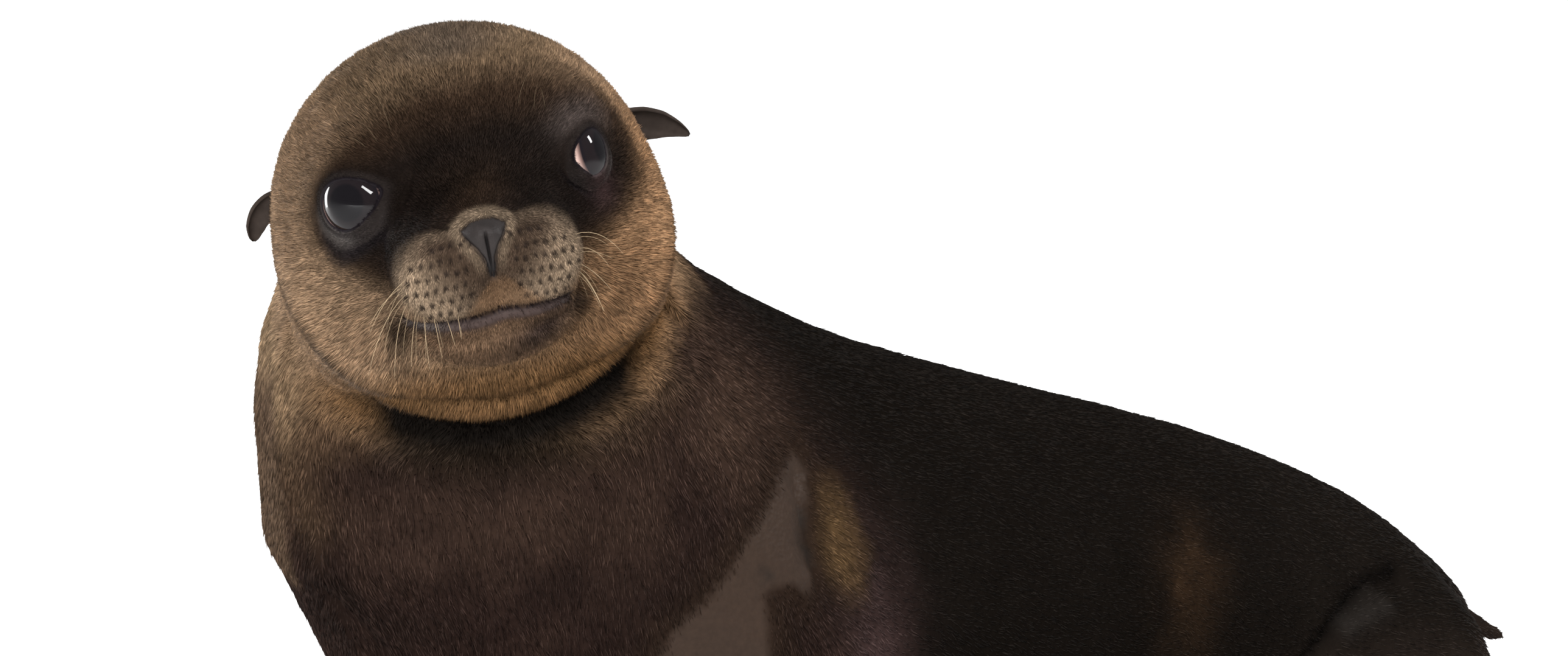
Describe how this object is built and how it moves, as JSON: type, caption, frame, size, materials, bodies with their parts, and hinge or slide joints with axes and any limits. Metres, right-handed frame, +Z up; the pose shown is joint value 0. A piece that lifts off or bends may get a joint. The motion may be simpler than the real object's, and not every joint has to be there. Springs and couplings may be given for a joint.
{
  "type": "sea lion",
  "caption": "Life-size sea lion pup standing on its flippers, with its head raised and turned to look over its left side.",
  "frame": {"origin": "on the floor, under the middle of the whole animal's box", "axes": "+Z up, the breast towards -Y and the tail towards +Y, the animal's left towards +X"},
  "size_m": [0.5912, 0.6828, 0.3913],
  "materials": {
    "golden_fur": "short golden-brown fur",
    "dark_fur": "short sleek blackish-brown fur",
    "bare_skin": "bare dark grey-brown skin",
    "nose_pad": "moist dark grey skin",
    "eye": "wet and glossy, almost black",
    "horn": "dull horn, as claws and whiskers have"
  },
  "bodies": {
    "root": {"eye_left": "eye", "eye_right": "eye", "ear_left": "bare_skin", "ear_right": "bare_skin", "head": "golden_fur", "lower_jaw": "golden_fur", "nose": "nose_pad", "neck": "golden_fur", "chest": "dark_fur", "trunk": "dark_fur", "rump": "dark_fur", "tail": "dark_fur", "fore_limb_left": "dark_fur", "fore_limb_right": "dark_fur", "fore_flipper_left": "bare_skin", "fore_flipper_right": "bare_skin", "hind_limb_left": "dark_fur", "hind_limb_right": "dark_fur", "hind_flipper_left": "bare_skin", "hind_flipper_right": "bare_skin", "claw_left_2": "horn", "claw_left_3": "horn", "claw_left_4": "horn", "claw_right_2": "horn", "claw_right_3": "horn", "claw_right_4": "horn"}
  },
  "joints": []
}
